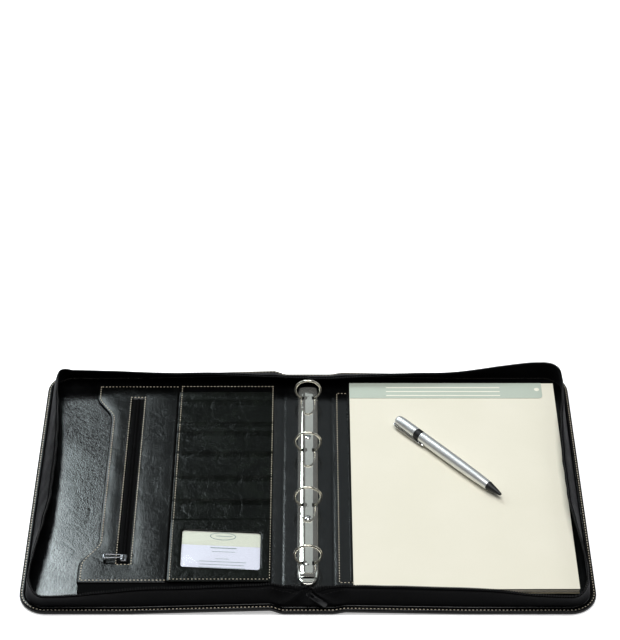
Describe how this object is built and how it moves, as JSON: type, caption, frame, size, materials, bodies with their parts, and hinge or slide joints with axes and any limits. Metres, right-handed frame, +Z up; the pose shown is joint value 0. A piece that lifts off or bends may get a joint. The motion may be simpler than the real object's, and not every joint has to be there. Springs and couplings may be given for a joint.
{
  "type": "portfolio case",
  "caption": "Zip-round portfolio case lying open, with ring mechanism, card and zip pocket organiser, tucked-in writing pad and pen.",
  "frame": {"origin": "centre of the open case's footprint, on the surface it lies on", "axes": "+X across the open case towards the back cover with the pad, +Y along the spine towards the pad's header, +Z up"},
  "size_m": [0.537, 0.343, 0.0328],
  "materials": {
    "black_leather": "glossy black grained bonded leather with tan stitching",
    "black_lining": "glossy smooth black lining",
    "grey_board": "grey stiffener board, hidden",
    "gusset_fabric": "matt black woven gusset",
    "zip_tape": "black zip tape with moulded black teeth",
    "black_metal": "black enamelled slider and pull",
    "chrome": "polished nickel-chrome plate",
    "satin_silver": "satin silver",
    "black_plastic": "black satin plastic",
    "clear_film": "clear flexible film",
    "white_card": "pale printed card with a cream band",
    "cream_paper": "cream writing paper",
    "sage_paper": "sage grey-green header band with cream rules",
    "kraft_board": "brown pad backing board"
  },
  "bodies": {
    "spine": {"spine_leather": "black_leather", "spine_board": "grey_board", "spine_lining": "black_lining", "ring_housing": "chrome", "housing_rivet_top": "chrome", "housing_rivet_bottom": "chrome", "spine_gusset_top": "gusset_fabric", "spine_gusset_bottom": "gusset_fabric", "main_zip_slider": "chrome"},
    "rings_left": {"ring_blade_left": "chrome", "ring_half_left_1": "chrome", "ring_half_left_2": "chrome", "ring_half_left_3": "chrome", "ring_half_left_4": "chrome"},
    "rings_right": {"ring_blade_right": "chrome", "ring_half_right_1": "chrome", "ring_half_right_2": "chrome", "ring_half_right_3": "chrome", "ring_half_right_4": "chrome"},
    "trigger": {"ring_trigger": "chrome"},
    "main_pull": {"main_zip_pull": "chrome"},
    "front_cover": {"front_leather": "black_leather", "front_edge_leather": "black_leather", "front_board": "grey_board", "front_lining": "black_lining", "front_gusset": "gusset_fabric", "front_zip_chain": "zip_tape", "organiser_backing": "black_leather", "zip_pocket_panel": "black_leather", "pocket_zip_tape": "zip_tape", "card_slot_1": "black_leather", "card_slot_2": "black_leather", "card_slot_3": "black_leather", "card_slot_4": "black_leather", "card_slot_5": "black_leather", "card_slot_6": "black_leather", "card_slot_7": "black_leather", "window_panel": "black_leather", "window_film": "clear_film"},
    "card": {"business_card": "white_card"},
    "pocket_slider": {"pocket_zip_slider": "black_metal"},
    "pocket_pull": {"pocket_zip_pull": "black_metal"},
    "back_cover": {"back_leather": "black_leather", "back_board": "grey_board", "back_lining": "black_lining", "back_gusset": "gusset_fabric", "back_zip_chain": "zip_tape", "pad_pocket_panel": "black_leather", "pad_board": "kraft_board", "pad_sheets": "cream_paper", "pad_header": "sage_paper"},
    "pen": {"pen_barrel": "satin_silver", "pen_band": "black_plastic", "pen_tip": "black_plastic"},
    "pen_upper": {"pen_upper_barrel": "satin_silver", "pen_clip": "chrome"}
  },
  "joints": [
    {"name": "front_cover_fold", "type": "hinge", "parent": "spine", "child": "front_cover", "pos_m": [-0.03, 0, 0.0006], "axis": [0, 1, 0], "range_deg": [0, 90]},
    {"name": "back_cover_fold", "type": "hinge", "parent": "spine", "child": "back_cover", "pos_m": [0.03, 0, 0.0006], "axis": [0, -1, 0], "range_deg": [0, 90]},
    {"name": "ring_open_left", "type": "hinge", "parent": "spine", "child": "rings_left", "pos_m": [-0.0084, 0, 0.0056], "axis": [0, -1, 0], "range_deg": [0, 15]},
    {"name": "ring_open_right", "type": "hinge", "parent": "spine", "child": "rings_right", "pos_m": [0.0084, 0, 0.0056], "axis": [0, 1, 0], "range_deg": [0, 15]},
    {"name": "ring_trigger_lift", "type": "hinge", "parent": "spine", "child": "trigger", "pos_m": [0, -0.1308, 0.0067], "axis": [-1, 0, 0], "range_deg": [0, 24]},
    {"name": "main_zip_pull_swing", "type": "hinge", "parent": "spine", "child": "main_pull", "pos_m": [0, -0.16365, 0.02072], "axis": [-0.5736, -0.3332, -0.7483], "range_deg": [0, 80]},
    {"name": "pocket_zip_slide", "type": "slide", "parent": "front_cover", "child": "pocket_slider", "axis": [0, 1, 0], "range_m": [0, 0.22]},
    {"name": "pocket_zip_pull_flip", "type": "hinge", "parent": "pocket_slider", "child": "pocket_pull", "pos_m": [-0.174, -0.105, 0.011], "axis": [0, 1, 0], "range_deg": [0, 180]},
    {"name": "card_slide", "type": "slide", "parent": "front_cover", "child": "card", "axis": [0, 1, 0], "range_m": [0, 0.028]},
    {"name": "pen_lift", "type": "slide", "parent": "back_cover", "child": "pen", "axis": [0, 0, 1], "range_m": [0, 0.014]},
    {"name": "pen_twist", "type": "hinge", "parent": "pen", "child": "pen_upper", "pos_m": [0.09, 0.0829, 0.0185], "axis": [-0.6573, 0.7537, 0], "range_deg": [0, 150]}
  ],
  "couplings": [
    {"joint": "ring_open_right", "follows": "ring_open_left", "ratio": 1},
    {"joint": "ring_trigger_lift", "follows": "ring_open_left", "ratio": 1.6}
  ]
}
